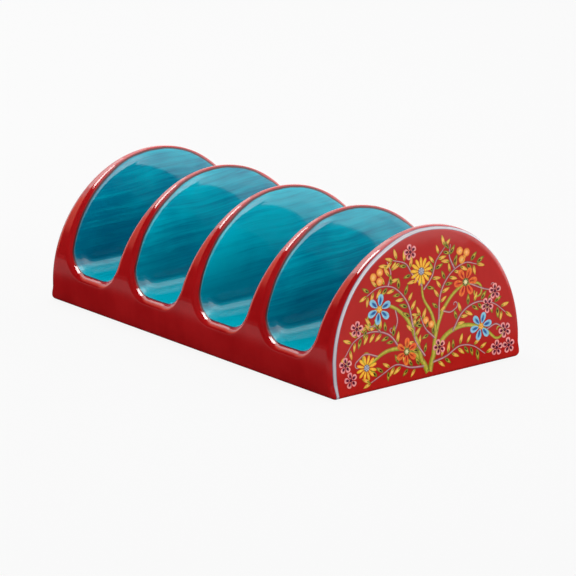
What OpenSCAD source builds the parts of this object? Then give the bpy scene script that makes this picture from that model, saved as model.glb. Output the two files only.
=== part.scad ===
// Taco holder: one slip-cast, glazed ceramic body. Four slots run across a long, round
// block, so that five half-round fins stand on one shallow base. Every edge is soft,
// the fins get thinner towards their tops, and the underside is hollow to an even wall.

/* [Body] */
// Width across the arch, front to back
body_w = 127; // [110:1:136]
// Height from the table to the top of the fins
body_h = 76.6; // [72:0.2:88]
// Lean of the two end faces, in degrees
end_draft = 4.8; // [0:0.1:7]

/* [Slots] */
// Number of slots
slot_count = 4; // [1:1:6]
// Width of a slot between the tops of two fins
slot_w = 49.2; // [40:0.2:60]
// Lean of the slot's walls, in degrees
slot_draft = 6; // [3:0.1:7]
// Height of the slot's floor above the table
floor_h = 19.4; // [17:0.2:26]
// Radius between wall and floor, deep inside the slot
slot_inner_r = 6; // [3:0.2:8]
// Radius of the slot's lower corners where it opens on the sides
slot_mouth_r = 8.6; // [6.6:0.2:11]
// How far in from the sides the corner radius changes
mouth_depth = 14; // [8:1:24]

/* [Fins] */
// Thickness of the inner fins at their tops
fin_t = 5.8; // [5.2:0.2:9]
// Thickness of the two end fins at their tops
end_fin_t = 6.4; // [5.6:0.2:10]

/* [Edges] */
// Width of the rounding round the slots, across a fin's top
rim_w = 2.4; // [1:0.1:2.5]
// Depth of that rounding down a fin's wall
rim_d = 5; // [1.5:0.5:7]
// Radius of the end faces' edge at the top of the arch
end_top_r = 2.6; // [1:0.1:4]
// Radius of the end faces' upright edges, near the table
end_side_r = 4.8; // [2:0.1:5.5]
// Radius of the end faces' edge along the table
end_base_r = 2.4; // [1:0.1:4]
// Radius of the long edges at the table
foot_r = 3; // [1.5:0.1:4]

/* [Underside] */
// Wall left by the hollow underside
wall = 5.6; // [4:0.2:7]
// Radius of the corners of the hollow
hollow_r = 5; // [3:0.5:8]
// Width of the hollow inside a fin at its highest point
pocket_top_w = 2; // [1.4:0.2:3]

/* [Hidden] */

red_glaze = "#a8141c";
turquoise_glaze = "#1687a3";

arch_steps = 20;
low_steps = 2;
rim_arch_steps = 17;
corner_steps = 6;
round_steps = 4;
hollow_steps = 24;
// How far cutters reach past the body, beside a rim, and into the open part of a slot
past = 2;
beside = 0.25;
into = 1;
// How far a rim's rounding passes the wall that it runs into, for a clean cut
skim = 0.04;
// Squared half width below which the section counts as closed
tiny = 0.001;
// Largest part of the foot's radius that the end edge takes, and its growth above the foot
foot_share = 0.9;
edge_growth = 0.5;
// Thickness of the plates that a fin's hollow is drawn from
plate = 0.1;

half_w = body_w / 2;
arch_z = body_h - half_w;
foot_turn = asin((arch_z - foot_r) / (half_w - foot_r));
foot_y = (half_w - foot_r) * cos(foot_turn);
pitch = slot_w + fin_t;
slots_x = [for (i = [0 : slot_count - 1]) (i - (slot_count - 1) / 2) * pitch];
fins_x = [for (i = [0 : slot_count]) (i - slot_count / 2) * pitch];
last_wall_x = (slot_count - 1) / 2 * pitch + slot_w / 2;
end_top_x = last_wall_x + end_fin_t;
hollow_h = floor_h - wall;

// Half width of the round section at height z, with its outline moved in by inset
function arch_y(z, inset) =
    let (squared = pow(half_w - inset, 2) - pow(z - arch_z, 2)) squared < tiny ? 0 : sqrt(squared);

// Distance of the end face from the middle at height z
function end_x(z) = end_top_x + tan(end_draft) * (body_h - z);

// Half width of a slot at height z, before its corners are rounded
function slot_x(z) = slot_w / 2 - tan(slot_draft) * (body_h - z);

// Half outline of the round section, from the middle of the foot to the top
function half_section() = concat(
    [[0, 0]],
    [for (i = [0 : round_steps - 1]) let (a = foot_turn + (90 - foot_turn) * (1 - i / round_steps))
        [foot_y + foot_r * cos(a), foot_r - foot_r * sin(a)]],
    [for (i = [0 : low_steps - 1]) let (a = foot_turn * (i / low_steps - 1))
        [half_w * cos(a), arch_z + half_w * sin(a)]],
    [for (i = [0 : arch_steps]) let (a = 90 * i / arch_steps)
        [half_w * cos(a), arch_z + half_w * sin(a)]]);

// Radius of an end face's edge at height z, which is small along the table
function edge_r(z) =
    min(end_side_r + (end_top_r - end_side_r) * z / body_h,
        min(end_base_r, foot_share * foot_r) + max(0, z - foot_r) * edge_growth);

// Centre that a point of the section moves towards when the section is made smaller
function inward(p, r) =
    let (on_foot = p[1] < foot_r - foot_r * sin(foot_turn) - beside / 10,
         normal = on_foot ? [max(0, p[0] - foot_y), p[1] - foot_r] : [p[0], p[1] - arch_z])
    p - r * normal / norm(normal);

// One ring of the skin: the section moved in for the rounded end edge, at an end face
function skin_ring(side, turn) =
    let (half = half_section(), n = len(half))
    [for (i = [0 : 2 * n - 3])
        let (flip = i >= n, k = flip ? 2 * n - 2 - i : i, p = half[k], r = edge_r(p[1]),
             q = inward(p, r * (1 - cos(turn))))
        [side * (end_x(p[1]) - r * (1 - sin(turn))), (flip ? -1 : 1) * q[0], q[1]]];

// Faces between rings that all have the same number of points
function band(n, a, b) =
    [for (i = [0 : n - 1]) let (j = (i + 1) % n) [a * n + i, b * n + i, b * n + j, a * n + j]];

// A closed body through a row of rings
module loft(rings) {
    n = len(rings[0]);
    last = len(rings) - 1;
    polyhedron(
        points = [for (ring = rings, p = ring) p],
        faces = concat([[for (i = [0 : n - 1]) i]],
                       [for (k = [0 : last - 1], f = band(n, k, k + 1)) f],
                       [[for (i = [n - 1 : -1 : 0]) last * n + i]]));
}

// The round block with its rounded ends and foot, before the slots are cut
module block() {
    turns = [for (i = [0 : round_steps]) 90 * i / round_steps];
    loft(concat([for (i = [round_steps : -1 : 0]) skin_ring(-1, turns[i])],
                [for (t = turns) skin_ring(1, t)]));
}

// Outline of a slot's lower half, from one wall over the floor to the other wall,
// moved outwards by grow, with lower corners of radius r
function slot_floor(r, grow) =
    let (cz = floor_h + r, cx = slot_x(cz) - r / cos(slot_draft), out = r + grow)
    [for (s = [1, -1], i = [0 : corner_steps])
        let (a = (90 - slot_draft) * (s > 0 ? i : corner_steps - i) / corner_steps + slot_draft)
        [s * (cx + out * cos(a)), cz - out * sin(a)]];

// Cross-section of a slot at a distance y from the middle, with lower corners of radius r
function slot_ring(y, r) =
    let (top = body_h + past, low = slot_floor(r, 0))
    concat([[-slot_x(top), y, top], [slot_x(top), y, top]], [for (p = low) [p[0], y, p[1]]]);

// Half of a closed path round a slot's opening on the round skin, at a depth below that
// skin, moved outwards by grow
function mouth_half(depth, grow) =
    let (low = slot_floor(slot_mouth_r, grow), r = half_w - depth,
         end = acos((low[0][1] - arch_z) / r),
         wall_out = grow / cos(slot_draft),
         up = [for (i = [0 : rim_arch_steps - 1])
             let (z = arch_z + r * cos(end * i / rim_arch_steps)) [slot_x(z) + wall_out, z]])
    concat(up, low, [for (i = [rim_arch_steps - 1 : -1 : 0]) [-up[i][0], up[i][1]]]);

function mouth_loop(depth, grow) =
    let (half = mouth_half(depth, grow), n = len(half))
    concat([for (p = half) [p[0], -arch_y(p[1], depth), p[1]]],
           [for (i = [1 : n - 2]) let (p = half[n - 1 - i]) [p[0], arch_y(p[1], depth), p[1]]]);

// What is taken off round a slot's opening, as a closed band, to leave a rounded rim
module mouth() {
    turns = [for (i = [1 : round_steps]) 90 * i / round_steps];
    wide = rim_w + beside;
    loops = concat([mouth_loop(-past, wide), mouth_loop(-beside, wide)],
                   [for (t = turns) mouth_loop(rim_d * (1 - cos(t)), rim_w * (1 - sin(t)) + skim)],
                   [mouth_loop(rim_d + beside, -into), mouth_loop(-past, -into)]);
    n = len(loops[0]);
    count = len(loops);
    polyhedron(
        points = [for (loop = loops, p = loop) p],
        faces = [for (k = [0 : count - 1], f = band(n, k, (k + 1) % count)) f]);
}

// One slot: a run with tight corners, easing into the wide corners of its two mouths
module slot() {
    stops = [[half_w + past, slot_mouth_r], [half_w - rim_d - into, slot_mouth_r],
             [half_w - mouth_depth, slot_inner_r]];
    rings = concat([for (s = stops) slot_ring(-s[0], s[1])],
                   [for (i = [len(stops) - 1 : -1 : 0]) slot_ring(stops[i][0], stops[i][1])]);
    loft(rings);
    mouth();
}

// Box with rounded upright edges and a rounded ceiling, from under the table up to top
module hollow_base() {
    x = end_x(hollow_h) - wall - hollow_r;
    y = arch_y(0, wall) - hollow_r;
    low = end_x(0) - wall - hollow_r;
    hull()
        for (sx = [-1, 1], sy = [-1, 1]) {
            translate([sx * low, sy * y, -past]) cylinder(h = past, r = hollow_r, $fn = hollow_steps);
            translate([sx * x, sy * y, hollow_h - hollow_r]) sphere(r = hollow_r, $fn = hollow_steps);
        }
}

// Hollow inside a fin, between faces at x0 and x1 low down and u0 and u1 at the top
module pocket(top, x0, x1, u0, u1) {
    y_low = arch_y(0, wall) - hollow_r;
    y_top = arch_y(top, wall) - hollow_r / 2;
    hull() {
        translate([x0, -y_low, hollow_h - hollow_r / 2])
            cube([x1 - x0, 2 * y_low, plate]);
        translate([u0, -y_top, top - plate])
            cube([u1 - u0, 2 * y_top, plate]);
    }
}

module inner_pocket() {
    rise = (2 * wall + pocket_top_w - fin_t) / (2 * tan(slot_draft));
    top = body_h - max(rise, 2 * wall);
    low_w = pitch / 2 - slot_x(hollow_h) - wall;
    top_w = pitch / 2 - slot_x(top) - wall;
    pocket(top, -low_w, low_w, -top_w, top_w);
}

module end_pocket() {
    rise = (2 * wall + pocket_top_w - end_fin_t) / (tan(slot_draft) + tan(end_draft));
    top = body_h - max(rise, 2 * wall);
    mid = last_wall_x - slot_w / 2;
    pocket(top, mid + slot_x(hollow_h) + wall, end_x(hollow_h) - wall,
           mid + slot_x(top) + wall, end_x(top) - wall);
}

module holder() {
    difference() {
        color(red_glaze) block();
        color(turquoise_glaze)
            for (x = slots_x) translate([x, 0, 0]) slot();
        color(red_glaze) {
            hollow_base();
            for (i = [1 : 1 : slot_count - 1]) translate([fins_x[i], 0, 0]) inner_pocket();
            end_pocket();
            mirror([1, 0, 0]) end_pocket();
        }
    }
}

holder();
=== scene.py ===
import math

import bmesh
import bpy
import numpy as np
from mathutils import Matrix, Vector


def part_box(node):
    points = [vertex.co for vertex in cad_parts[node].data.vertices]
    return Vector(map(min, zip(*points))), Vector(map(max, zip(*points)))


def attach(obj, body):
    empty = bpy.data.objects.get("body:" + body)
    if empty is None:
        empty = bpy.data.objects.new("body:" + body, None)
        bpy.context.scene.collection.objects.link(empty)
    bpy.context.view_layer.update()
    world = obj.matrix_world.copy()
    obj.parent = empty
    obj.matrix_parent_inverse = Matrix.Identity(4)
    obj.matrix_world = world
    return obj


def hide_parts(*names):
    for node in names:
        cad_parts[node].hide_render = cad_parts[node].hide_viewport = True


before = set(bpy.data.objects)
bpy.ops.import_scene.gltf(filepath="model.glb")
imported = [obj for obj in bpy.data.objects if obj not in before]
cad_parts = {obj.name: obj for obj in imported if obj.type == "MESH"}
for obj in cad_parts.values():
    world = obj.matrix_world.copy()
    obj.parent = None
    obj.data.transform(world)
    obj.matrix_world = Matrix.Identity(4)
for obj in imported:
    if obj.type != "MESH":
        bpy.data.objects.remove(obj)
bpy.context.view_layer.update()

# Sizes in millimetres. The overall sizes come from the frame, the rest are the body's own.
MM = 0.001
LOW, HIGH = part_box("holder")
BODY_W = (HIGH[1] - LOW[1]) / MM
BODY_H = (HIGH[2] - LOW[2]) / MM
END_DRAFT = math.radians(4.8)
SLOT_COUNT = 4
SLOT_W = 49.2
SLOT_DRAFT = math.radians(6.0)
FLOOR_H = 19.4
SLOT_INNER_R = 6.0
SLOT_MOUTH_R = 13.0
MOUTH_DEPTH = 14.0
FIN_T = 5.8
END_FIN_T = 6.4
# A slot's rounded rim: its width at a fin's top, down the fin's sides and at the lip below, its
# depth, and how far below the top it reaches its full width
RIM_TOP_W = 2.4
RIM_W = 3.9
LIP_W = 3.9
RIM_D = 4.0
RIM_FALL = 18.0
# How far the walls ease outwards towards a rim, over which depth, and the share of it low down
FLARE_W = 1.1
FLARE_D = 14.0
FLARE_LOW = 0.5
# How much fuller the printed end's far shoulder is than a true circle: it starts this far past
# the last slot's middle, grows over this length, and spans an arc from a first turn, in degrees
SWELL = 1.6
SWELL_FROM = 10.0
SWELL_OVER = 18.0
SWELL_TURN = 5.0
SWELL_ARC = 115.0
# Radius of an end face's edge at the top, low on the sides and at the foot, and how fast it
# grows above the foot
END_TOP_R = 2.6
END_SIDE_R = 4.8
END_BASE_R = 2.4
END_BASE_RISE = 0.5
FOOT_R = 3.0
WALL = 5.6
HOLLOW_R = 5.0
HOLLOW_EDGE_R = 1.0
POCKET_TOP_W = 2.0

HALF_W = BODY_W / 2
ARCH_Z = BODY_H - HALF_W
PITCH = SLOT_W + FIN_T
SLOTS_X = [(i - (SLOT_COUNT - 1) / 2) * PITCH for i in range(SLOT_COUNT)]
LAST_WALL_X = SLOTS_X[-1] + SLOT_W / 2
END_TOP_X = LAST_WALL_X + END_FIN_T
HOLLOW_H = FLOOR_H - WALL

# How far the hollow's cutter starts below the table, and the least radius of its corners
PAST = 2.0
LEAST_R = 0.3
# Points closer than this, in metres, are joined, and an edge turned further than this is crisp
WELD = 2e-6
SHARP = math.radians(50)

# How finely the body's mesh is divided, and how a slot's rows crowd towards its mouths
WALL_STEPS = 60
CORNER_STEPS = 14
LIP_STEPS = 22
RIM_STEPS = 10
DEPTH_STEPS = 44
CROWDING = 1.5
FIN_STEPS = 10
SIDE_STEPS = 10
FOOT_STEPS = 8
END_STEPS = 44
BOX_STEPS = 8
HOLLOW_EDGE_STEPS = 5
HOLLOW_STEPS = 8
POCKET_STEPS = 4
POCKET_TURNS = (0.4, 0.8, 1.2, 1.5)
# Corner radius of a pocket as a share of its half width
POCKET_ROUND = 0.98

# The camera, the point it faces and its reach in metres, its lens and sensor in millimetres
CAMERA_AT = Vector((1.56384, -1.26248, 0.58887))
CAMERA_AIM = Vector((-0.000658, 0.006022, 0.019925))
LENS = 248.35
SENSOR_W = 36
CLIP_END = 20

# Softboxes overhead: name, x and y ranges and height in metres, and brightness
OVERHEAD = (
    ("overhead", -1.45, 0.1, -0.33, 0.55, 1.0, 2.1),
    ("overhead_right", 0.1, 0.7, -0.33, 0.55, 1.0, 0.6),
    ("overhead_front", -0.7, 0.15, -0.33, 0.05, 1.0, 3.2),
)
# One that only the glaze mirrors, as the streaks on the rims. It hangs a little below the
# others, because lamps that lie in one plane hide each other in the glaze.
GLEAM = ("overhead_gleam", -0.42, 0.16, -0.415, 0.0, 0.97, 19.0)
# A weak light from the front: azimuth, elevation, distance, size and brightness
FRONT_FILL = (-100, 12, 1.5, (1.5, 0.8), 1.2)

# The room that the glaze mirrors, as smooth steps: from, to, and the brightness at each. A
# direction is given by its turn, y over x, or its rise, height over distance.
ROOM_LEFT = (-1.0, -0.3, 0.0, 1.75)
ROOM_LEFT_END = (-0.745, -0.69, 0.04, 1.0)
ROOM_RIGHT = (-0.6, 0.3, 0.05, 1.9)
# A brighter patch on the right: middle, half width and soft edge, by turn and by rise
BRIGHT_TURN = (0.42, 0.16, 0.16)
BRIGHT_RISE = (0.27, 0.18, 0.16)
BRIGHT = 2.6
# The left of the room is brighter and warmer towards the front
WARM_TURN = (-0.42, -0.3, 1.0, 0.0)
WARM = (1.0, 0.3, 0.2, 1)
# Light from a pale side in this x and y direction, fading upwards, and from all round
SIDE_WAY = (0.64, 0.77)
SIDE = (0.1, 0.55, 0.0, 2.3)
SIDE_TOP = (0.45, 0.65, 1.0, 0.0)
FILL = 0.2

# The table that the glaze mirrors, painted as an emission by the distance from the object in
# millimetres: its brightness, dark close by as a painted shadow of the object, where it ends, and
# beyond it a painted sweep that brightens in an x and y direction
TABLE_PAINTED_SHADOW = (25.0, 110.0, 0.015, 0.36)
TABLE_EDGE = (430.0, 520.0, 0.0, 1.0)
SWEEP_WAY = (0.45, 0.9)
SWEEP = (-150.0, 250.0, 0.08, 1.4)
TABLE_TONE = (0.55, 0.55, 0.55, 1)
TABLE_HALF = 6.0
# How far the camera sees the table as plain white, over its light and shadow
CAMERA_WHITE = 0.9


def tone(r, g, b):
    """A colour as read off a screen, from 0 to 255, in the renderer's own values."""
    shares = [c / 255 for c in (r, g, b)]
    return (*[c / 12.92 if c <= 0.04045 else ((c + 0.055) / 1.055) ** 2.4 for c in shares], 1.0)


def shades(*rows):
    """Colours at places across a shape, each row a place and a screen colour."""
    return [(place, tone(*colour)) for place, *colour in rows]


RED_DEEP = (0.44, 0.006, 0.008, 1)
RED_BRIGHT = (0.52, 0.010, 0.012, 1)
PRINT_RED = (0.46, 0.012, 0.009, 1)
PRINT_RED_BRIGHT = (0.51, 0.015, 0.012, 1)
TURQUOISE_DEEP = (0.0, 0.19, 0.31, 1)
TURQUOISE_PALE = (0.0, 0.48, 0.60, 1)
# Painted shade: the deeper colour low on the slots' walls
TURQUOISE_SHADED = (0.0, 0.11, 0.20, 1)
LINE_WHITE = (0.64, 0.60, 0.64, 1)
LINE_GREY = (0.54, 0.52, 0.56, 1)
LINE_EDGE = (0.16, 0.15, 0.23, 1)
BORDER = (0.035, 0.012, 0.018, 1)
CLAY = tone(205, 193, 176)
CLAY_PALE = tone(224, 214, 199)
CLAY_SPECK = tone(120, 100, 84)
# How strongly the glaze reflects, on the shader's own scale
SHINE = 0.5

# How far inside the round skin the slots' glaze ends: a sum of smooth steps over the height,
# each from one height to another and from one width to another
GLAZE_EDGE = ((19, 34, 1.0, 0.0), (34, 60, 2.3, 2.1), (63, 74, 0.0, -0.9))
GLAZE_SOFT = 0.08
GLAZE_WAVER = 0.7
# The dark border on that edge: its middle, half width and soft edge, and its strength
BORDER_BAND = (-0.26, 0.28, 0.3)
BORDER_SHARE = 0.88
# Scales of the brush's strokes along x, y and z, and of the runs in the red
STROKE_SCALE = (0.4, 0.014, 0.4)
RUN_SCALE = (0.3, 0.3, 0.03)
# Places along x with a paler or deeper coat, and the half width and soft edge of each. Painted
# light: the slots' floors, which face up to the light, are paler, and that ends over these heights
COAT_PLACES = ((8, 0.1), (-100, -0.05))
COAT_BAND = (14, 10)
FLOOR_PAINTED_LIGHT = (FLOOR_H + 1.5, FLOOR_H + 4, 0.2, 0.0)
# Painted shade low on the slots' walls, where the slots' own shade falls: where it starts, and how
# it fades upwards
SHADE_START = (FLOOR_H + 2, FLOOR_H + 5)
SHADE_FADE = (22, 58, 0.62, 0.0)

# The white line round an end face: its middle's offset from the arch's, its width, soft edge
# and waver, its radius and narrowing as smooth steps over y, and the dark fringe beside it
LINE_Y = 0.8
LINE_Z = 0.6
LINE_W = 1.25
LINE_SOFT = 0.1
LINE_WAVER = 0.35
LINE_R = ((-30, 0, 61.6, 62.5), (0, 32, 0.0, 0.7))
LINE_NARROWS = (-30, 40, 1.0, 0.62)
FRINGE_W = 0.2
# Where an end begins, with the line and the printed red
PRINTED_X = LAST_WALL_X + RIM_W + 0.6

# The print: the radius and middle of the circle that it keeps within, its lowest height, the
# thickness of one layer, how deep it is sunk into the face, and the layer of each kind of shape
PRINT_R = 59.6
PRINT_Z = ARCH_Z + 0.4
PRINT_LOW = 2.9
PRINT_T = 0.012
SUNK = 0.15
STEM_LEVEL = 2
LEAF_LEVEL = 3
BERRY_LEVEL = 4
PETAL_LEVEL = 5
MARK_LEVEL = 7
MIDDLE_LEVEL = 8
DOT_LEVEL = 9

# A leaf's fullness, taper and length, and how its tilt and size vary
LEAF_FULL = 0.85
LEAF_TAPER = 0.2
LEAF_LENGTH = 5.6
LEAF_TILT = (0.75, 1.1)
LEAF_SIZES = (0.88, 1.12)
# The space between leaves, how far each stands off its stem, the part of the stem that has
# them, and the share of green ones
LEAF_GAP = 2.16
LEAF_OFF = 0.9
LEAVES = (0.06, 0.98)
GREEN_SHARE = 0.45
# A curl's points, how far it closes and how evenly
CURL_STEPS = 25
CURL_CLOSES = 0.72
CURL_POWER = 0.9
# The points of a petal's outline, and in parts of the flower's radius where it starts, its
# middle, and its mark's start and length
PETAL_POINTS = 18
PETAL_FROM = 0.16
PETAL_MIDDLE = 0.62
MARK_FROM = 0.26
MARK_LENGTH = 0.56
# In parts of a flower's middle, how far out its dots lie and their radius, and their turn
DOT_OUT = 0.68
DOT_R = 0.17
DOT_TURN = 0.3

STEM_WIDTHS = (1.3, 0.9, 0.6)
CURL_WIDTHS = (1.1, 0.8, 0.5)
STEM_ROWS = shades((1, 106, 60, 78), (0.2, 176, 120, 128), (-0.2, 232, 178, 176), (-1, 104, 52, 66))
VINE_ROWS = shades(
    (1, 116, 120, 34), (0.35, 180, 172, 52), (-0.3, 206, 190, 78), (-1, 122, 112, 40),
)
BERRY = shades((1, 212, 104, 34), (0.8, 244, 150, 58), (0.45, 252, 178, 92), (0, 255, 204, 132))
# A leaf's mark is given by its length, its width and how far up the leaf it lies
GREEN_LEAF = {
    "width": 0.36, "mark": (0.44, 0.42, 0.34),
    "leaf": shades((1, 84, 96, 30), (0.72, 142, 146, 44), (0.3, 236, 190, 72), (0, 160, 158, 52)),
    "stroke": shades((1, 86, 58, 24), (0.5, 44, 30, 18), (0, 34, 24, 16)),
}
YELLOW_LEAF = {
    "width": 0.32, "mark": (0.4, 0.3, 0.0),
    "leaf": shades((1, 142, 146, 44), (0.8, 236, 190, 72), (0.4, 246, 176, 84), (0, 250, 206, 112)),
    "stroke": shades((1, 142, 146, 44), (0.5, 84, 96, 30), (0, 160, 158, 52)),
}
# A flower's petals are given by their width and how early they are full, its middle by its
# radius, and the mark on a petal by its width
DAISY = {
    "width": 0.155, "point": 0.45, "core": 0.28, "dots": 6,
    "petal": shades((1, 240, 150, 40), (0.75, 250, 190, 56), (0, 253, 206, 74)),
    "middle": shades(
        (1, 96, 84, 92), (0.75, 136, 138, 156), (0.4, 150, 154, 176), (0, 190, 194, 206),
    ),
    "dot": shades((1, 206, 208, 214), (0, 226, 226, 228)),
}
BLUE = {
    "width": 0.30, "point": 0.42, "core": 0.24, "dots": 5, "mark": 0.20,
    "petal": shades(
        (1, 104, 168, 204), (0.82, 158, 212, 230), (0.55, 128, 190, 220), (0, 84, 144, 196),
    ),
    "stroke": shades((1, 72, 126, 184), (0.6, 50, 96, 158), (0, 44, 84, 148)),
    "middle": shades(
        (1, 206, 120, 36), (0.7, 244, 186, 70), (0.35, 246, 200, 96), (0, 222, 96, 40),
    ),
    "dot": shades((1, 220, 110, 44), (0, 206, 84, 34)),
}
ORANGE = {
    "width": 0.30, "point": 0.45, "core": 0.27, "dots": 8, "mark": 0.12,
    "petal": shades((1, 206, 78, 34), (0.86, 240, 124, 56), (0.5, 238, 106, 46), (0, 226, 84, 38)),
    "stroke": shades((1, 206, 66, 30), (0.5, 178, 44, 24), (0, 160, 36, 22)),
    "middle": shades(
        (1, 72, 62, 34), (0.8, 150, 146, 66), (0.45, 226, 214, 150), (0, 244, 238, 198),
    ),
    "dot": shades((1, 80, 84, 40), (0, 60, 60, 30)),
}
BLOSSOM = {
    "width": 0.46, "point": 0.5, "core": 0.2, "dots": 0, "mark": 0.36,
    "petal": shades(
        (1, 226, 120, 122), (0.8, 246, 172, 168), (0.5, 240, 150, 150), (0, 214, 96, 104),
    ),
    "stroke": shades((1, 150, 48, 70), (0.6, 98, 24, 50), (0, 80, 18, 42)),
    "middle": shades((1, 70, 16, 36), (0.5, 90, 24, 46), (0, 116, 40, 60)),
}

# The print's layout, across and up an end face in millimetres. Olive vines that end in curls:
# path, the curl's radius, turn and side, widths along the vine, and layer
LOW_VINE = (3.4, 2.4, 1.4, 0.7)
HIGH_VINE = (2.8, 2.0, 1.3, 0.7)
VINES = (
    ([(0.5, 3.6), (4, 12), (13, 20.5), (25, 23), (37, 19.5), (45, 13)], 4.4, 5.0, 1, LOW_VINE, 1),
    ([(-0.5, 3.6), (-5, 11), (-15, 18), (-27, 19), (-38, 14.5)], 4.2, 5.2, -1, LOW_VINE, 1),
    ([(3.4, 11), (6, 23), (12.5, 35), (23, 43), (34, 43.5)], 4.6, 5.2, -1, HIGH_VINE, 1.2),
    ([(-4.2, 9.5), (-7.5, 22), (-14, 34.5), (-25, 42), (-36, 40)], 4.4, 5.0, 1, HIGH_VINE, 1.2),
)
UPRIGHT = ([(6, 23), (3.5, 33), (-1.5, 42), (-2, 52)], (2.2, 1.6, 1.0), 1.4)
SPRIGS = (
    [(8, 29), (10, 42), (17, 51), (27, 55), (35, 53)],
    [(-9, 28), (-12, 41), (-20, 50), (-30, 52), (-38, 49)],
    [(17, 21.5), (24, 30), (34, 33.5), (45, 31), (53, 25)],
    [(-18, 18.5), (-25, 27), (-36, 30.5), (-47, 28), (-54, 21)],
    [(-1, 46), (5, 52), (8, 59), (14, 65)],
    [(-2, 48), (-8, 55), (-12, 61), (-20, 64)],
    [(3, 8), (12, 9.5), (21, 13), (30, 11.5), (38, 6)],
    [(-3, 7), (-12, 8), (-21, 11), (-30, 8), (-38, 5)],
    [(5, 20), (-1, 26), (-4, 33)],
    [(-24, 52), (-22, 58), (-24, 64)],
    [(-30, 29), (-34, 33), (-39, 33)],
    [(20, 53), (17, 60), (18, 66)],
    [(-2, 12), (-8, 21), (-8, 28)],
)
# Thin curls: path, radius, turn and side
CURLS = (
    ([(30, 43.8), (38, 40), (44, 38)], 2.4, 4.6, 1),
    ([(-20, 38.8), (-19, 33), (-21, 28.5)], 2.2, 4.8, -1),
    ([(11, 33), (16, 31.5), (20, 33)], 2.0, 4.8, 1),
    ([(39, 18), (46, 20), (51, 17)], 2.0, 4.6, -1),
    ([(-33, 17.5), (-41, 20), (-47, 17)], 2.1, 4.6, 1),
)
# Flowers: place, radius, number of petals, look and turn
FLOWERS = (
    ((-2, 55.5), 7.2, 13, DAISY, 0.1),
    ((-30.5, 41), 7.8, 6, BLUE, 0.3),
    ((27, 45), 7.9, 6, ORANGE, 0.0),
    ((-40.5, 13), 6.6, 12, DAISY, 0.2),
    ((36, 20.5), 7.4, 6, BLUE, 0.15),
    ((-14, 16.5), 7.2, 6, ORANGE, 0.4),
)
# Small blossoms: place and turn
BLOSSOM_R = 4.2
BLOSSOM_PETALS = 5
BLOSSOMS = (
    ((46, 7.5), 0.2), ((52, 15.8), 0.7), ((54.2, 7.4), 0.4), ((-51, 8.6), 0.5),
    ((-54, 16.6), 0.3), ((-45.6, 33.6), 0.1), ((7.6, 15), 0.6), ((46.5, 37), 0.3),
    ((-8.6, 66.4), 0.5), ((41, 30.6), 0.8),
)
# Bunches of berries: place, radius and each berry's offset
BERRIES = (
    ((24, 61.5), 2.2, ((0, 0), (4.6, -1.4), (1.2, -4.6))),
    ((-29, 59.5), 2.2, ((0, 0), (-4.4, -1.8), (-0.4, -4.6))),
    ((3, 27.5), 2.0, ((0, 0), (-3.4, 2.6))),
)


def clamp(share):
    return min(max(share, 0), 1)


def ease(share, low, high):
    """Runs smoothly from low to high as share goes from 0 to 1."""
    share = np.clip(share, 0, 1)
    return low + (high - low) * share * share * (3 - 2 * share)


def arch_y(z, inset):
    """Half width of the round section at height z, with its outline moved in by inset."""
    return np.sqrt(np.maximum((HALF_W - inset) ** 2 - (z - ARCH_Z) ** 2, 0))


def end_x(z):
    return END_TOP_X + math.tan(END_DRAFT) * (BODY_H - z)


def slot_x(z):
    return SLOT_W / 2 - math.tan(SLOT_DRAFT) * (BODY_H - z)


def edge_r(z):
    """Radius of the end face's edge at height z."""
    tapering = END_SIDE_R + (END_TOP_R - END_SIDE_R) * z / BODY_H
    return np.minimum(tapering, END_BASE_R + END_BASE_RISE * np.maximum(z - FOOT_R, 0))


def flare(depth, z):
    """How far a slot's surface has eased outwards, by depth below the round skin and height."""
    low = FLOOR_H + SLOT_MOUTH_R
    high = ease((z - low) / (BODY_H - RIM_FALL - low), FLARE_LOW, 1.0)
    return FLARE_W * high * np.maximum(1 - depth / FLARE_D, 0) ** 2


def corner(r):
    """Centre of a slot's lower corner of radius r, for the wall on the +X side."""
    z = FLOOR_H + r
    return slot_x(z) - r / math.cos(SLOT_DRAFT), z


def corner_arc(r, grow):
    """Points of that corner from the wall down to the floor, moved outwards by grow."""
    cx, cz = corner(r)
    a = np.linspace(SLOT_DRAFT, math.pi / 2, CORNER_STEPS + 1)
    return cx + (r + grow) * np.cos(a), cz - (r + grow) * np.sin(a)


def rim_grow(depth, left, width, z):
    """How far a rim stands out from the slot's wall with a share left of its rounding to go."""
    return (width - flare(0, z)) * left + flare(depth, z)


def whole_slot(wall_x, wall_z, corner_x, corner_z):
    """The +X wall and corner, the floor between them and their mirror images, as x and z."""
    lip = corner_x[-1] * np.linspace(1, -1, LIP_STEPS + 1)[1:-1]
    xs = np.concatenate([wall_x, corner_x, lip, -corner_x[::-1], -wall_x[::-1]])
    floor_z = np.full(len(lip), corner_z[-1])
    zs = np.concatenate([wall_z, corner_z, floor_z, corner_z[::-1], wall_z[::-1]])
    return xs, zs


def slot_line(depth, left):
    """x and z along a slot's opening, from the top of its +X wall down, over its floor and up to
    the top of its -X wall, at a depth below the round skin."""
    width = ease(np.linspace(0, 1, CORNER_STEPS + 1), RIM_W, LIP_W)
    corner_x, corner_z = corner_arc(SLOT_MOUTH_R, rim_grow(depth, left, width, 0.0))
    rise = HALF_W - depth
    last = math.acos((corner_z[0] - ARCH_Z) / rise)
    z = ARCH_Z + rise * np.cos(last * np.arange(WALL_STEPS) / WALL_STEPS)
    width = ease((BODY_H - z) / RIM_FALL, RIM_TOP_W, RIM_W)
    x = slot_x(z) + rim_grow(depth, left, width, z) / math.cos(SLOT_DRAFT)
    return whole_slot(x, z, corner_x, corner_z)


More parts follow.
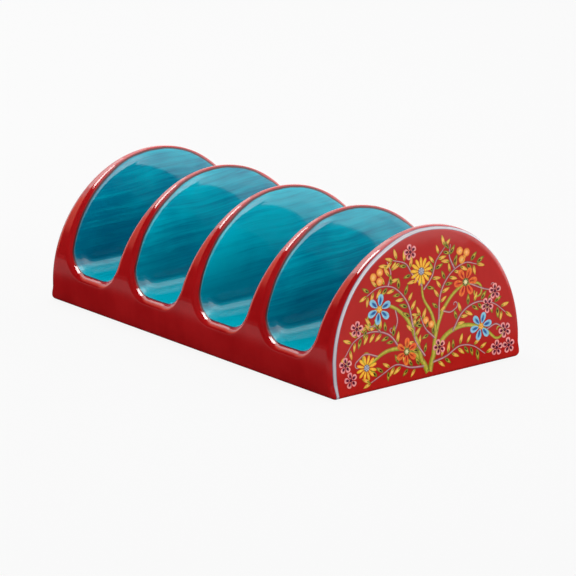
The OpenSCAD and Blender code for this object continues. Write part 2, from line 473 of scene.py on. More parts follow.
class Skin:
    """Collects grids of points into one mesh."""

    def __init__(self):
        self.points = []
        self.faces = []

    def grid(self, points):
        """points is rows x columns x 3."""
        rows, cols = points.shape[:2]
        first = len(self.points)
        self.points.extend(points.reshape(-1, 3))
        for r in range(rows - 1):
            for c in range(cols - 1):
                k = first + r * cols + c
                self.faces.append((k, k + 1, k + cols + 1, k + cols))

    def both(self, x, y, z):
        """A grid and its mirror image in y."""
        for side in (-1, 1):
            self.grid(xyz(x, side * y, z))


def xyz(x, y, z):
    return np.stack(np.broadcast_arrays(x, y, z), axis=-1)


def add_rims(skin, x0):
    """The rounded rim round one slot's opening."""
    turns = np.linspace(0, math.pi / 2, RIM_STEPS + 1)
    depth = RIM_D * (1 - np.cos(turns))[:, None]
    lines = [slot_line(d, 1 - math.sin(t)) for d, t in zip(depth[:, 0], turns)]
    x = np.array([line[0] for line in lines])
    z = np.array([line[1] for line in lines])
    skin.both(x0 + x, arch_y(z, depth), z)


def add_channel(skin, x0):
    """The walls and floor of one slot, with tight corners that widen towards the mouths."""
    zs = slot_line(RIM_D, 0.0)[1]
    ys = arch_y(zs, RIM_D)
    across = np.linspace(-1, 1, DEPTH_STEPS + 1)
    across = np.sign(across) * (1 - (1 - np.abs(across)) ** CROWDING)
    top = zs[0]
    low = zs[WALL_STEPS]
    share = (zs[:WALL_STEPS] - low) / (top - low)
    a = np.linspace(SLOT_DRAFT, math.pi / 2, CORNER_STEPS + 1)
    straight = low + (top - low) * share
    bent = np.interp(a, [SLOT_DRAFT, math.pi / 2], [low, FLOOR_H])
    z = np.concatenate([straight, bent])
    rows = []
    for v in across:
        near = clamp((abs(v) * HALF_W - (HALF_W - MOUTH_DEPTH)) / (MOUTH_DEPTH - RIM_D))
        r = SLOT_INNER_R + (SLOT_MOUTH_R - SLOT_INNER_R) * near**2
        cx, cz = corner(r)
        wide = flare(HALF_W - np.hypot(v * ys[: len(z)], zs[: len(z)] - ARCH_Z), zs[: len(z)])
        bend = r + wide[WALL_STEPS:]
        wall_z = straight + (cz - bend[0] * math.sin(SLOT_DRAFT) - low) * (1 - share)
        wall_x = slot_x(wall_z) + wide[:WALL_STEPS] / math.cos(SLOT_DRAFT)
        row_x, row_z = whole_slot(wall_x, wall_z, cx + bend * np.cos(a), cz - bend * np.sin(a))
        rows.append(xyz(x0 + row_x, v * ys, row_z))
    skin.grid(np.array(rows))


def fin_rows():
    """Opening half widths and heights where the outer skin meets a slot's rim."""
    xs, zs = slot_line(0, 1.0)
    count = WALL_STEPS + CORNER_STEPS + 1
    return xs[:count], zs[:count]


def add_fins(skin):
    """The outer skin of the fins, on both sides of the arch."""
    xs, zs = fin_rows()
    t = np.linspace(0, 1, FIN_STEPS + 1)
    edges = [(x0 + xs, x1 - xs) for x0, x1 in zip(SLOTS_X[:-1], SLOTS_X[1:])]
    last = end_x(zs) - edge_r(zs)
    edges.append((SLOTS_X[-1] + xs, last))
    edges.append((-last, SLOTS_X[0] - xs))
    for a, b in edges:
        x = a[:, None] + (b - a)[:, None] * t
        skin.both(x, arch_y(zs, 0)[:, None], zs[:, None])


def base_columns():
    """Places along the length where the base's skin meets the fins and the slots' lips."""
    xs, zs = fin_rows()
    last = end_x(zs[-1]) - edge_r(zs[-1])
    stops = [-last] + [x for x0 in SLOTS_X for x in (x0 - xs[-1], x0 + xs[-1])] + [last]
    out = [stops[0]]
    for i in range(len(stops) - 1):
        n = FIN_STEPS if i % 2 == 0 else LIP_STEPS
        out.extend(stops[i] + (stops[i + 1] - stops[i]) * np.arange(1, n + 1) / n)
    return np.array(out)


def foot_arc():
    """Where the foot's rounding starts, as an angle below the horizontal, and its centre's y."""
    reach = HALF_W - FOOT_R
    start = math.asin((ARCH_Z - FOOT_R) / reach)
    return start, reach * math.cos(start)


def base_rows():
    """y and z down the side of the base and round its foot."""
    start, middle = foot_arc()
    z = np.linspace(FLOOR_H - LIP_W, FOOT_R - FOOT_R * math.sin(start), SIDE_STEPS + 1)
    a = np.linspace(start, math.pi / 2, FOOT_STEPS + 1)[1:]
    y = np.concatenate([arch_y(z, 0), middle + FOOT_R * np.cos(a)])
    return y, np.concatenate([z, FOOT_R - FOOT_R * np.sin(a)])


def add_base(skin):
    """The base's skin on both sides, from the slots' lips down to the foot."""
    columns = base_columns()
    y, z = base_rows()
    spread = (end_x(z) - edge_r(z)) / columns[-1]
    skin.both(columns[None, :] * spread[:, None], y[:, None], z[:, None])


def end_outline():
    """y, z and the outward direction along half of an end, from the top to the foot."""
    zs = fin_rows()[1]
    by, bz = base_rows()
    y = np.concatenate([arch_y(zs, 0), by[1:]])
    z = np.concatenate([zs, bz[1:]])
    start, middle = foot_arc()
    foot = z < FOOT_R - FOOT_R * math.sin(start)
    ny = np.where(foot, y - middle, y)
    nz = np.where(foot, z - FOOT_R, z - ARCH_Z)
    size = np.hypot(ny, nz)
    return y, z, ny / size, nz / size


def add_end(skin, sign):
    """One end: its rounded edge, then the flat, leaning face."""
    y, z, ny, nz = end_outline()
    r = edge_r(z)
    turns = np.linspace(0, math.pi / 2, RIM_STEPS + 1)[:, None]
    move = r * (1 - np.cos(turns))
    qy, qz = y - move * ny, z - move * nz
    x = end_x(qz) - r * (1 - np.sin(turns))
    skin.both(sign * x, qy, qz)
    # Along the foot the edge is straight
    t = np.linspace(-1, 1, END_STEPS + 1)
    foot_y = np.broadcast_to(t * qy[-1, -1], (RIM_STEPS + 1, END_STEPS + 1))
    skin.grid(xyz(sign * x[:, -1:], foot_y, qz[:, -1:]))
    face_y = t * qy[-1][:, None]
    face_z = np.broadcast_to(qz[-1][:, None], face_y.shape)
    skin.grid(xyz(sign * x[-1][:, None], face_y, face_z))


def box_ring(x, y, r, z, mid=0.0):
    """Closed ring at height z: a rectangle about x = mid, of half sizes x and y, with corners of
    radius r."""
    out = []
    for k, (sx, sy) in enumerate(((1, 1), (-1, 1), (-1, -1), (1, -1))):
        for i in range(BOX_STEPS + 1):
            a = math.pi / 2 * (k + i / BOX_STEPS)
            out.append((mid + sx * (x - r) + r * math.cos(a), sy * (y - r) + r * math.sin(a), z))
    return out


def hollow_rings():
    """Rings of the hollow underside, from under the table up to its rounded ceiling."""
    x, y = end_x(0) - WALL, float(arch_y(0, WALL))
    soft = HOLLOW_EDGE_R
    rings = [box_ring(x + soft, y + soft, HOLLOW_R + soft, -PAST)]
    for a in np.linspace(0, math.pi / 2, HOLLOW_EDGE_STEPS + 1):
        out = soft * (1 - math.sin(a))
        rings.append(box_ring(x + out, y + out, HOLLOW_R + out, soft * (1 - math.cos(a))))
    for a in np.linspace(0, math.pi / 2, HOLLOW_STEPS + 1):
        cut = HOLLOW_R * (1 - math.cos(a))
        z = HOLLOW_H - HOLLOW_R + HOLLOW_R * math.sin(a)
        half = x - math.tan(END_DRAFT) * z - cut
        rings.append(box_ring(half, y - cut, max(HOLLOW_R - cut, LEAST_R), z))
    return rings


def pocket_rings(fin, top):
    """Rings of the hollow inside a fin: fin is -1 or 1 at an end, and else its middle's x."""

    def across(z):
        """The pocket's middle and half width at height z."""
        if abs(fin) == 1:
            near, far = SLOTS_X[-1] + slot_x(z) + WALL, end_x(z) - WALL
            return fin * (near + far) / 2, (far - near) / 2
        return fin, PITCH / 2 - slot_x(z) - WALL

    low = HOLLOW_H - HOLLOW_R / 2
    y_low = float(arch_y(0, WALL)) - HOLLOW_R
    y_top = float(arch_y(top, WALL)) - HOLLOW_R / 2
    tip = POCKET_TOP_W / 2
    steps = [(z, 0.0) for z in np.linspace(low, top - tip, POCKET_STEPS + 1)]
    steps += [(top - tip + tip * math.sin(a), tip * (1 - math.cos(a))) for a in POCKET_TURNS]
    rings = []
    for z, cut in steps:
        mid, half = across(z)
        half = half - cut
        y = y_low + (y_top - y_low) * (z - low) / (top - low) - cut
        rings.append(box_ring(half, y, half * POCKET_ROUND, z, mid))
    return rings


def add_object(name, data):
    made = bpy.data.objects.new(name, data)
    bpy.context.collection.objects.link(made)
    return made


def add_mesh(name, bm, materials):
    """The bmesh as an object with these materials, with its faces turned outwards."""
    bmesh.ops.recalc_face_normals(bm, faces=bm.faces)
    mesh = bpy.data.meshes.new(name)
    bm.to_mesh(mesh)
    bm.free()
    for material in materials:
        mesh.materials.append(material)
    return add_object(name, mesh)


def cutter(name, rings, materials):
    """A closed solid through rings of equal length, whose faces are of the second material."""
    bm = bmesh.new()
    made = [[bm.verts.new(Vector(p) * MM) for p in ring] for ring in rings]
    for a, b in zip(made, made[1:]):
        for i in range(len(a)):
            j = (i + 1) % len(a)
            bm.faces.new((a[i], a[j], b[j], b[i]))
    bm.faces.new(made[0][::-1])
    bm.faces.new(made[-1])
    for f in bm.faces:
        f.smooth = True
        f.material_index = 1
    return add_mesh(name, bm, materials)


def swell(p):
    """The point p, moved out a little where the printed end's far shoulder is fuller."""
    up = p[2] - ARCH_Z
    turn = math.degrees(math.atan2(up, p[1]))
    share = clamp((p[0] - SLOTS_X[-1] - SWELL_FROM) / SWELL_OVER)
    share *= math.sin(math.pi * clamp((turn - SWELL_TURN) / SWELL_ARC)) ** 2
    inner = math.hypot(p[1], up) / HALF_W
    out = SWELL * share * inner * np.array([0, p[1], up]) / HALF_W
    # A point that rises stays on the leaning end face
    out[0] = -math.tan(END_DRAFT) * out[2] * clamp((p[0] - LAST_WALL_X) / FIN_T)
    return p + out


def build_block(materials):
    """The glazed outside and the slots, closed underneath."""
    skin = Skin()
    for x0 in SLOTS_X:
        add_rims(skin, x0)
        add_channel(skin, x0)
    add_fins(skin)
    add_base(skin)
    add_end(skin, 1)
    add_end(skin, -1)
    bm = bmesh.new()
    verts = [bm.verts.new(Vector(swell(p)) * MM) for p in skin.points]
    for f in skin.faces:
        bm.faces.new([verts[i] for i in f])
    bmesh.ops.remove_doubles(bm, verts=bm.verts, dist=WELD)
    bmesh.ops.dissolve_degenerate(bm, dist=WELD / 20, edges=bm.edges)
    foot = [e for e in bm.edges if e.is_boundary and max(v.co.z for v in e.verts) < WELD]
    bmesh.ops.triangle_fill(bm, edges=foot, use_beauty=True)
    return add_mesh("holder_glazed", bm, materials)


def carve(block, cutters):
    """Takes the cutters off the block and removes them."""
    for tool in cutters:
        cut = block.modifiers.new("hollow", "BOOLEAN")
        cut.operation = "DIFFERENCE"
        cut.solver = "MANIFOLD"
        cut.object = tool
    graph = bpy.context.evaluated_depsgraph_get()
    mesh = bpy.data.meshes.new_from_object(block.evaluated_get(graph))
    block.modifiers.clear()
    old = block.data
    block.data = mesh
    mesh.name = old.name
    bpy.data.meshes.remove(old)
    for tool in cutters:
        bpy.data.objects.remove(tool)


def finish_body(body):
    """Bare clay under the foot, smooth shading, and crisp edges only where faces meet sharply."""
    bm = bmesh.new()
    bm.from_mesh(body.data)
    for f in bm.faces:
        f.smooth = True
        if max(v.co.z for v in f.verts) < WELD:
            f.material_index = 1
    for e in bm.edges:
        e.smooth = len(e.link_faces) == 2 and e.calc_face_angle(0) < SHARP
    bm.to_mesh(body.data)
    bm.free()
    weighted = body.modifiers.new("even_shading", "WEIGHTED_NORMAL")
    weighted.mode = "FACE_AREA"
    weighted.keep_sharp = True


def build_body(materials):
    """The body: the glazed block with the hollow and a pocket inside each fin taken out."""
    block = build_block(materials)
    least = 2 * WALL + POCKET_TOP_W
    top = BODY_H - (least - FIN_T) / (2 * math.tan(SLOT_DRAFT))
    end_top = BODY_H - (least - END_FIN_T) / (math.tan(SLOT_DRAFT) + math.tan(END_DRAFT))
    fins = [(x0 + x1) / 2 for x0, x1 in zip(SLOTS_X, SLOTS_X[1:])]
    cutters = [cutter("hollow", hollow_rings(), materials)]
    cutters += [cutter("pocket", pocket_rings(x, top), materials) for x in fins]
    cutters += [cutter("pocket", pocket_rings(s, end_top), materials) for s in (-1, 1)]
    carve(block, cutters)
    finish_body(block)
    return block


class Nodes:
    """The nodes of a new material or world, with short ways to add and join them."""

    def __init__(self, name, world=False):
        self.made = (bpy.data.worlds if world else bpy.data.materials).new(name)
        self.made.use_nodes = True
        self.tree = self.made.node_tree
        self.shader = self.tree.nodes["Background" if world else "Principled BSDF"]

    def add(self, kind, **settings):
        node = self.tree.nodes.new("ShaderNode" + kind)
        for key, value in settings.items():
            setattr(node, key, value)
        return node

    def feed(self, socket, value):
        if isinstance(value, bpy.types.NodeSocket):
            self.tree.links.new(value, socket)
        else:
            socket.default_value = value

    def set(self, name, value):
        """Sets or joins one of the shader's own sockets."""
        self.feed(self.shader.inputs[name], value)

    def fill(self, node, *values):
        """Feeds the node's inputs in turn and gives its output."""
        for socket, value in zip(node.inputs, values):
            self.feed(socket, value)
        return node.outputs[0]

    def math(self, operation, *values):
        return self.fill(self.add("Math", operation=operation), *values)

    def times(self, a, b):
        return self.math("MULTIPLY", a, b)

    def less(self, a, b):
        return self.math("SUBTRACT", a, b)

    def rest(self, share):
        return self.less(1.0, share)

    def hypot(self, a, b):
        return self.math("SQRT", self.math("ADD", self.times(a, a), self.times(b, b)))

    def total(self, *parts):
        """The sum of (value, factor) pairs."""
        out = None
        for value, factor in parts:
            part = self.times(value, factor)
            out = part if out is None else self.math("ADD", out, part)
        return out

    def span(self, value, low, high, to_low=0.0, to_high=1.0):
        """Runs smoothly from to_low to to_high as value goes from low to high."""
        node = self.add("MapRange", interpolation_type="SMOOTHSTEP")
        return self.fill(node, value, low, high, to_low, to_high)

    def spans(self, value, steps):
        """The sum of several spans of one value."""
        return self.total(*[(self.span(value, *step), 1.0) for step in steps])

    def band(self, value, middle, half, soft):
        """1 where value is within half of middle, falling to 0 over the distance soft."""
        away = self.math("ABSOLUTE", self.less(value, middle))
        return self.span(away, half, half + soft, 1.0, 0.0)

    def mix(self, share, a, b):
        node = self.add("Mix", data_type="RGBA")
        for name, value in (("Factor", share), ("A", a), ("B", b)):
            self.feed(node.inputs[name], value)
        return node.outputs["Result"]

    def noise(self, where, scale, detail=2.0, rough=0.5):
        node = self.add("TexNoise")
        values = (("Vector", where), ("Scale", scale), ("Detail", detail), ("Roughness", rough))
        for name, value in values:
            self.feed(node.inputs[name], value)
        return node.outputs["Fac"]

    def place(self):
        """The point on the piece in millimetres, as a vector and as x, y and z."""
        scale = self.add("VectorMath", operation="SCALE")
        self.feed(scale.inputs[0], self.add("TexCoord").outputs["Object"])
        self.feed(scale.inputs["Scale"], 1 / MM)
        split = self.add("SeparateXYZ")
        self.feed(split.inputs[0], scale.outputs[0])
        return scale.outputs[0], *split.outputs

    def stretched(self, parts, scales):
        """The vector of three values, each times its own scale."""
        return self.fill(self.add("CombineXYZ"), *[self.times(p, s) for p, s in zip(parts, scales)])

    def bump(self, height, strength=1.0):
        """height is in millimetres."""
        node = self.add("Bump")
        self.feed(node.inputs["Height"], height)
        self.feed(node.inputs["Strength"], strength)
        self.feed(node.inputs["Distance"], MM)
        self.set("Normal", node.outputs[0])

    def mix_shader(self, share, a, b):
        return self.fill(self.add("MixShader"), share, a, b)

    def rays(self):
        """1 for rays from the camera, and 1 for rays that a surface mirrors or lets through."""
        path = self.add("LightPath")
        through = (path.outputs["Is Glossy Ray"], path.outputs["Is Transmission Ray"])
        return path.outputs["Is Camera Ray"], self.math("MAXIMUM", *through)


def red_tones(m, x, y, z, clouds):
    """The red glaze and the printed red, a little uneven, with faint runs down the sides."""
    runs = m.noise(m.stretched((x, y, z), RUN_SCALE), 1.0, 3.0)
    uneven = m.span(m.total((clouds, 0.8), (runs, 0.2)), 0.34, 0.66)
    return m.mix(uneven, RED_DEEP, RED_BRIGHT), m.mix(uneven, PRINT_RED, PRINT_RED_BRIGHT)


def turquoise_tone(m, at, x, y, z):
    """The slots' glaze, brushed along them in long, slightly rising strokes, with painted shade low
    on
    the walls: its colour, how much of it is paler, from its uneven layer and from painted light on
    the floors, and its strokes."""
    rise = m.total((z, 1.0), (y, -0.04), (m.noise(at, 0.02, 1.0), 6.0))
    stroke_at = m.stretched((x, y, rise), STROKE_SCALE)
    strokes = m.noise(stroke_at, 1.0, 4.0, 0.62)
    hairs = m.noise(stroke_at, 3.1, 3.0, 0.6)
    pools = m.noise(at, 0.035)
    places = m.total(*[(m.band(x, middle, *COAT_BAND), more) for middle, more in COAT_PLACES])
    # Painted light: the floors are paler, as if lit more from above, on top of the glaze's uneven
    # coat
    floor_painted_light = m.span(z, *FLOOR_PAINTED_LIGHT)
    coat_and_floor_light_sum = m.total((strokes, 0.5), (hairs, 0.22), (pools, 0.4), (places, 1.0), (floor_painted_light, 1.0))
    coat_and_floor_light = m.span(coat_and_floor_light_sum, 0.38, 0.74)
    # Painted shade: the walls turn a deeper colour low down, where the slot's shade falls
    painted_shade = m.times(m.span(z, *SHADE_START), m.span(z, *SHADE_FADE))
    colour = m.mix(coat_and_floor_light, TURQUOISE_DEEP, TURQUOISE_PALE)
    return m.mix(painted_shade, colour, TURQUOISE_SHADED), coat_and_floor_light, strokes


def end_line(m, y, up, waver):
    """How far a point lies outside the white line's middle, and 1 where it lies within it."""
    across = m.less(y, LINE_Y)
    drawn = m.math("ADD", m.hypot(across, m.less(up, LINE_Z)), m.times(waver, LINE_WAVER))
    line_r = m.spans(across, LINE_R)
    off = m.math("DIVIDE", m.less(drawn, line_r), m.span(across, *LINE_NARROWS))
    return off, m.math("LESS_THAN", drawn, line_r)


def glaze_material():
    """Red outside, brushed turquoise in the slots, and a white line round each printed end."""
    m = Nodes("glaze")
    at, x, y, z = m.place()
    up = m.less(z, ARCH_Z)
    on_end = m.math("GREATER_THAN", m.math("ABSOLUTE", x), PRINTED_X)
    waver = m.less(m.noise(at, 0.09), 0.5)
    clouds = m.noise(at, 0.045, 3.0, 0.55)

    # How far a point lies inside the edge of the slots' glaze, which a brush has drawn
    inside = m.less(m.less(HALF_W, m.hypot(y, up)), m.spans(z, GLAZE_EDGE))
    inside = m.math("ADD", inside, m.times(waver, GLAZE_WAVER))
    here = m.times(m.rest(on_end), m.math("GREATER_THAN", z, FOOT_R * 2))
    lined = m.times(m.span(inside, -GLAZE_SOFT, GLAZE_SOFT), here)
    border = m.times(m.band(inside, *BORDER_BAND), here)

    # The white line and the printed red within it
    off, within = end_line(m, y, up, waver)
    line = m.times(m.band(off, 0.0, LINE_W / 2, LINE_SOFT), on_end)
    fringe = m.times(m.band(off, 0.0, LINE_W / 2 + FRINGE_W, FRINGE_W), on_end)
    printed = m.times(within, on_end)

    red, print_red = red_tones(m, x, y, z, clouds)
    turquoise, coat_and_floor_light, strokes = turquoise_tone(m, at, x, y, z)
    colour = m.mix(printed, red, print_red)
    colour = m.mix(fringe, colour, LINE_EDGE)
    colour = m.mix(line, colour, m.mix(clouds, LINE_WHITE, LINE_GREY))
    colour = m.mix(lined, colour, turquoise)
    colour = m.mix(m.times(border, BORDER_SHARE), colour, BORDER)
    m.set("Base Color", colour)

    rough = m.total((m.noise(at, 0.6), 0.03), (coat_and_floor_light, 0.02), (clouds, 0.02))
    m.set("Roughness", m.math("ADD", rough, 0.02))
    m.set("Specular IOR Level", SHINE)
    brushed = m.times(m.times(strokes, lined), 0.03)
    m.bump(m.total((m.noise(at, 0.05, 1.0), 0.12), (m.noise(at, 0.5), 0.004), (brushed, 1.0)))
    return m.made


def clay_material():
    """Bare, warm white stoneware with fine specks."""
    m = Nodes("clay")
    at = m.place()[0]
    clouds = m.noise(at, 0.06, 4.0, 0.6)
    grains = m.noise(at, 2.4)
    plain = m.mix(m.span(clouds, 0.35, 0.65), CLAY, CLAY_PALE)
    m.set("Base Color", m.mix(m.span(grains, 0.66, 0.74), plain, CLAY_SPECK))
    m.set("Roughness", m.math("ADD", m.times(clouds, 0.2), 0.6))
    m.bump(m.total((grains, 0.05), (clouds, 0.2)), 0.7)
    return m.made


def print_material():
    """Painted colour under the glaze, with the brush's own unevenness."""
    m = Nodes("print")
    at = m.place()[0]
    blots = m.noise(at, 0.8, 3.0, 0.6)
    shaded = m.add("HueSaturation")
    m.feed(shaded.inputs["Color"], m.add("Attribute", attribute_name="tint").outputs["Color"])
    m.feed(shaded.inputs["Value"], m.span(blots, 0.3, 0.7, 0.84, 1.14))
    m.feed(shaded.inputs["Hue"], m.span(m.noise(at, 0.35), 0.3, 0.7, 0.49, 0.51))
    m.set("Base Color", shaded.outputs[0])
    m.set("Roughness", m.span(blots, 0.3, 0.7, 0.06, 0.12))
    m.set("Specular IOR Level", SHINE)
    m.bump(m.total((m.noise(at, 0.05, 1.0), 0.12), (blots, 0.006)))
    return m.made


def smooth_path(points, per_span=10):
    """A smooth path through the given points, across and up an end face in millimetres."""
    p = np.asarray(points, float)
    p = np.vstack([2 * p[0] - p[1], p, 2 * p[-1] - p[-2]])
    t = np.arange(per_span)[:, None] / per_span
    out = []
    for a, b, c, d in zip(p, p[1:], p[2:], p[3:]):
        square = (2 * a - 5 * b + 4 * c - d) * t**2
        cube = (3 * b - a - 3 * c + d) * t**3
        out.append(0.5 * (2 * b + (c - a) * t + square + cube))
    return np.vstack(out + [p[-2][None]])


def turned(points, angle):
    c, s = math.cos(angle), math.sin(angle)
    return points @ np.array([[c, s], [-s, c]])


def ahead(at, angle, distance):
    """The point at a distance from another, in the direction of angle."""
    return np.asarray(at) + turned(np.array([[distance, 0.0]]), angle)[0]


def direction(path, i=-1):
    """The angle at which the path arrives at its point i."""
    return math.atan2(*(path[i] - path[i - 1])[::-1])


def curl(path, radius, turn, side):
    """The path with a spiral on its end: turn is how far it winds and side is 1 for to the left."""
    way = path[-1] - path[-2]
    way = way / np.hypot(*way)
    left = np.array([-way[1], way[0]]) * side
    middle = path[-1] + left * radius
    start = math.atan2(-left[1], -left[0])
    t = np.linspace(0, 1, CURL_STEPS + 1)[1:, None]
    a = start + side * turn * t
    r = radius * (1 - CURL_CLOSES * t**CURL_POWER)
    return np.vstack([path, middle + r * np.hstack([np.cos(a), np.sin(a)])])


def leaf_outline(at, angle, length, width, points=9):
    s = np.linspace(-1, 1, points)
    half = width / 2 * (1 - s * s) ** LEAF_FULL * (1 - LEAF_TAPER * s)
    u = np.concatenate([s, s[-2:0:-1]]) * length / 2 + length / 2
    v = np.concatenate([half, -half[-2:0:-1]])
    return turned(np.column_stack([u, v]), angle) + at


class Print:
    """Thin closed shapes on one end face, laid over each other, with a colour at each point."""

    def __init__(self, seed):
        self.points, self.faces, self.tints = [], [], []
        self.random = np.random.default_rng(seed)

    def fits(self, outline):
        far = np.hypot(outline[:, 0], outline[:, 1] - PRINT_Z).max()
        return far < PRINT_R and outline[:, 1].min() > PRINT_LOW

    def add(self, flat, lift, colour):
        """Adds points of one colour, lifted off the face, and gives the number of the first."""
        first = len(self.points)
        for p in flat:
            self.points.append((p[0], p[1], lift))
            self.tints.append(colour)
        return first

    def patch(self, outline, middle, rings, level):
        """A shape whose colours run from its outline to its middle. rings is a list of
        (share of the way out, colour), the last one for the middle."""
        outline, middle = np.asarray(outline), np.asarray(middle)
        if not self.fits(outline):
            return
        n, high = len(outline), level * PRINT_T
        rows = [self.add(outline, -SUNK, rings[0][1])]
        rows += [self.add(middle + (outline - middle) * share, high, c) for share, c in rings[:-1]]
        top = self.add(middle[None], high, rings[-1][1])
        low = self.add(middle[None], -SUNK, rings[0][1])
        for i in range(n):
            j = (i + 1) % n
            for a, b in zip(rows, rows[1:]):
                self.faces.append((a + i, a + j, b + j, b + i))
            self.faces.append((rows[-1] + i, rows[-1] + j, top))
            self.faces.append((rows[0] + j, rows[0] + i, low))

    def ribbon(self, path, widths, rows, level):
        """A closed strip along a path. rows is a list of (place across from -1 to 1, colour)."""
        way = np.gradient(path, axis=0)
        way = way / np.hypot(way[:, 0], way[:, 1])[:, None]
        left = np.column_stack([-way[:, 1], way[:, 0]])
        n, high = len(path), level * PRINT_T
        width = np.interp(np.linspace(0, 1, n), np.linspace(0, 1, len(widths)), widths)
        half = width[:, None] / 2
        strips = [self.add(path + left * half * s, high, c) for s, c in rows]
        strips += [self.add(path + left * half * s, -SUNK, c) for s, c in (rows[-1], rows[0])]
        for a, b in zip(strips, strips[1:] + strips[:1]):
            for i in range(n - 1):
                self.faces.append((a + i, a + i + 1, b + i + 1, b + i))
        self.faces.append(tuple(strips))
        self.faces.append(tuple(s + n - 1 for s in strips[::-1]))

    def dot(self, at, r, rings, level, n=14):
        a = np.linspace(0, 2 * math.pi, n, endpoint=False)
        self.patch(np.asarray(at) + r * np.column_stack([np.cos(a), np.sin(a)]), at, rings, level)

    def leaf(self, at, angle, length, look):
        width = length * look["width"]
        outline = leaf_outline(at, angle, length, width)
        if not self.fits(outline):
            return
        middle = ahead(at, angle, length * 0.5)
        self.patch(outline, middle, look["leaf"], LEAF_LEVEL)
        long, wide, up = look["mark"]
        mark = leaf_outline(at, angle, length * long, width * wide, 6) + (middle - at) * up
        self.patch(mark, mark.mean(axis=0), look["stroke"], LEAF_LEVEL + 1)

    def sprig(self, path):
        """A thin stem with leaves in turn on its two sides and one on its end."""
        self.ribbon(path, STEM_WIDTHS, STEM_ROWS, STEM_LEVEL)
        along = np.concatenate([[0], np.cumsum(np.hypot(*np.diff(path, axis=0).T))])
        count = max(2, int(along[-1] * (LEAVES[1] - LEAVES[0]) / LEAF_GAP))
        for k, s in enumerate(np.linspace(*LEAVES, count) * along[-1]):
            i = max(min(np.searchsorted(along, s), len(path) - 1), 1)
            side = 1 if k % 2 else -1
            way = direction(path, i) + side * self.random.uniform(*LEAF_TILT)
            size = LEAF_LENGTH * self.random.uniform(*LEAF_SIZES)
            look = GREEN_LEAF if self.random.random() < GREEN_SHARE else YELLOW_LEAF
            self.leaf(ahead(path[i], way, LEAF_OFF), way, size, look)
        self.leaf(path[-1], direction(path), LEAF_LENGTH, YELLOW_LEAF)

    def flower(self, at, r, petals, look, turn):
        """An open flower. look gives its petals' width and colours and its middle."""
        t = np.linspace(0, 2 * math.pi, PETAL_POINTS, endpoint=False)
        u = (1 - np.cos(t)) / 2
        v = np.sin(t) * (u ** look["point"]) * look["width"] * r
        flat = np.column_stack([r * (PETAL_FROM + (1 - PETAL_FROM) * u), v])
        for k in range(petals):
            a = turn + 2 * math.pi * k / petals
            middle = ahead(at, a, r * PETAL_MIDDLE)
            self.patch(turned(flat, a) + at, middle, look["petal"], PETAL_LEVEL + k % 2)
            if "stroke" in look:
                start = ahead(at, a, r * MARK_FROM)
                mark = leaf_outline(start, a, r * MARK_LENGTH, r * look["mark"], 7)
                self.patch(mark, mark.mean(axis=0), look["stroke"], MARK_LEVEL)
        core = look["core"] * r
        self.dot(at, core, look["middle"], MIDDLE_LEVEL)
        for k in range(look["dots"]):
            a = 2 * math.pi * k / look["dots"] + DOT_TURN
            self.dot(ahead(at, a, core * DOT_OUT), core * DOT_R, look["dot"], DOT_LEVEL, 7)

    def piece(self, name, sign, material):
        """The finished mesh on the +X end for sign 1, or on the -X end for -1."""
        p = np.array(self.points)
        lean = math.tan(END_DRAFT)
        x = END_TOP_X + lean * (BODY_H - p[:, 1]) + p[:, 2] * math.cos(END_DRAFT)
        z = p[:, 1] + p[:, 2] * math.sin(END_DRAFT)
        bm = bmesh.new()
        tint = bm.verts.layers.float_color.new("tint")
        verts = []
        for q, colour in zip(np.column_stack([sign * x, sign * p[:, 0], z]), self.tints):
            v = bm.verts.new(Vector(q) * MM)
            v[tint] = colour
            verts.append(v)
        for f in self.faces:
            bm.faces.new([verts[i] for i in f])
        return add_mesh(name, bm, [material])


def draw_print(seed):
    """Scrolling stems from the middle of the foot, with sprigs, flowers and berries."""
    art = Print(seed)
    for line, r, turn, side, widths, level in VINES:
        art.ribbon(curl(smooth_path(line), r, turn, side), widths, VINE_ROWS, level)
    line, widths, level = UPRIGHT
    art.ribbon(smooth_path(line), widths, VINE_ROWS, level)
    for line in SPRIGS:
        art.sprig(smooth_path(line))
    for line, r, turn, side in CURLS:
        art.ribbon(curl(smooth_path(line), r, turn, side), CURL_WIDTHS, STEM_ROWS, STEM_LEVEL)
    for flower in FLOWERS:
        art.flower(*flower)
    for at, turn in BLOSSOMS:
        art.flower(at, BLOSSOM_R, BLOSSOM_PETALS, BLOSSOM, turn)
    for at, r, offsets in BERRIES:
        for offset in offsets:
            art.dot(np.add(at, offset), r, BERRY, BERRY_LEVEL, 16)
    return art


def add_camera():
    data = bpy.data.cameras.new("camera")
    data.lens = LENS
    data.sensor_width = SENSOR_W
    data.clip_end = CLIP_END
    camera = add_object("camera", data)
    camera.location = CAMERA_AT
    camera.rotation_euler = (CAMERA_AIM - CAMERA_AT).to_track_quat("-Z", "Y").to_euler()
    bpy.context.scene.camera = camera


def add_area(name, place, size, level):
    """A softbox that faces straight down. level is its brightness, with 1 for white."""
    data = bpy.data.lights.new(name, "AREA")
    data.shape = "RECTANGLE"
    data.size, data.size_y = size
    data.energy = level * math.pi * size[0] * size[1]
    lamp = add_object(name, data)
    lamp.location = place
    return lamp


def add_overhead(name, x0, x1, y0, y1, z, level):
    return add_area(name, ((x0 + x1) / 2, (y0 + y1) / 2, z), (x1 - x0, y1 - y0), level)


def add_front(azimuth, elevation, distance, size, level):
    """A softbox that faces the object and that the glaze doesn't mirror."""
    a, e = math.radians(azimuth), math.radians(elevation)
    place = Vector((math.cos(a) * math.cos(e), math.sin(a) * math.cos(e), math.sin(e))) * distance
    lamp = add_area("front", place, size, level)
    lamp.rotation_euler = place.to_track_quat("Z", "Y").to_euler()
    lamp.visible_glossy = False


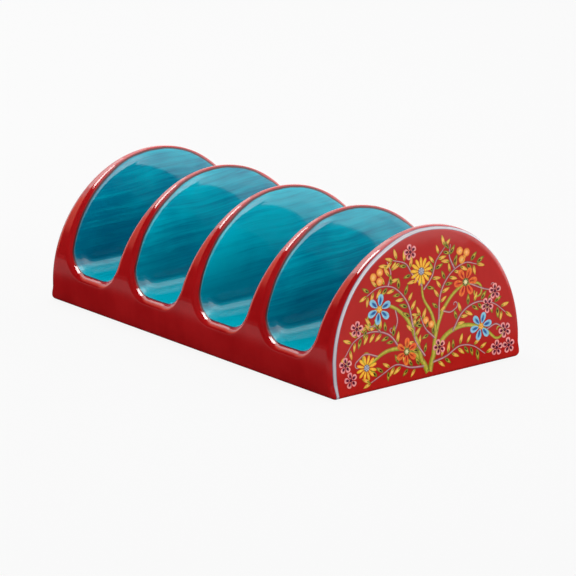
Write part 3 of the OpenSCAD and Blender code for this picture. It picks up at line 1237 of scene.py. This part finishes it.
def add_floor():
    """A table that is white to the camera, with the object's soft shadow. The glaze mirrors an
    emission in its place, with the object's shadow painted dark beside it, paler further out, and a
    pale sweep behind it."""
    mesh = bpy.data.meshes.new("floor")
    corners = [(x * TABLE_HALF, y * TABLE_HALF, 0) for x, y in ((-1, -1), (1, -1), (1, 1), (-1, 1))]
    mesh.from_pydata(corners, [], [(0, 1, 2, 3)])
    floor = add_object("floor", mesh)
    m = Nodes("floor")
    x, y = m.place()[1:3]
    m.set("Base Color", TABLE_TONE)
    m.set("Roughness", 0.9)
    m.set("Specular IOR Level", 0.0)
    beside = m.math("MAXIMUM", m.less(m.math("ABSOLUTE", x), HIGH[0] / MM), 0.0)
    before = m.math("MAXIMUM", m.less(m.math("ABSOLUTE", y), HIGH[1] / MM), 0.0)
    away = m.hypot(beside, before)
    far = m.span(away, *TABLE_EDGE)
    beyond = m.span(m.total((y, SWEEP_WAY[1]), (x, SWEEP_WAY[0])), *SWEEP)
    # For mirrored rays the table is an emission: a painted shadow of the object close beside it,
    # painted light further out, and a painted bright sweep beyond
    table = m.add("Emission")
    pale = m.math("ADD", m.times(m.span(away, *TABLE_PAINTED_SHADOW), m.rest(far)), m.times(beyond, far))
    m.feed(table.inputs["Strength"], pale)
    white = m.add("Emission")
    seen, mirrored = m.rays()
    shown = m.mix_shader(m.times(seen, CAMERA_WHITE), m.shader.outputs[0], white.outputs[0])
    both = m.mix_shader(mirrored, shown, table.outputs[0])
    m.feed(m.tree.nodes["Material Output"].inputs["Surface"], both)
    mesh.materials.append(m.made)


def set_world():
    """White to the camera. The glaze mirrors a room that is pale at both sides and behind and
    dark in front, and its pale side lights the object."""
    m = Nodes("studio", world=True)
    bpy.context.scene.world = m.made
    split = m.add("SeparateXYZ")
    m.feed(split.inputs[0], m.add("TexCoord").outputs["Generated"])
    x, y, z = split.outputs
    turn = m.math("DIVIDE", y, m.math("MAXIMUM", m.math("ABSOLUTE", x), 0.001))
    rise = m.math("DIVIDE", z, m.math("MAXIMUM", m.hypot(x, y), 0.001))
    on_right = m.math("GREATER_THAN", x, 0.0)
    bright = m.times(m.band(turn, *BRIGHT_TURN), m.band(rise, *BRIGHT_RISE))
    right = m.math("MULTIPLY_ADD", bright, BRIGHT, m.span(turn, *ROOM_RIGHT))
    warm = m.times(m.span(turn, *WARM_TURN), m.rest(on_right))
    left = m.times(m.span(turn, *ROOM_LEFT), m.span(turn, *ROOM_LEFT_END))
    left = m.times(left, m.math("ADD", warm, 1.0))
    room = m.total((right, on_right), (left, m.rest(on_right)))
    side = m.span(m.total((x, SIDE_WAY[0]), (y, SIDE_WAY[1])), *SIDE)
    light = m.math("MULTIPLY_ADD", side, m.span(z, *SIDE_TOP), FILL)

    seen, mirrored = m.rays()
    strength = m.total((light, m.rest(mirrored)), (room, mirrored))
    m.set("Strength", m.total((strength, m.rest(seen)), (seen, 1.0)))
    tinged = m.times(m.times(warm, mirrored), m.rest(seen))
    m.set("Color", m.mix(tinged, (1, 1, 1, 1), WARM))


body = build_body([glaze_material(), clay_material()])
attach(body, "root")
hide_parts("holder")

paint = print_material()
for sign, name, seed in ((1, "print_front", 3), (-1, "print_back", 8)):
    art = draw_print(seed).piece(name, sign, paint)
    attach(art, "root")

bpy.context.scene.view_settings.view_transform = "Standard"
add_camera()
for box in OVERHEAD:
    add_overhead(*box)
gleam = add_overhead(*GLEAM)
gleam.visible_diffuse = False
add_front(*FRONT_FILL)
add_floor()
set_world()
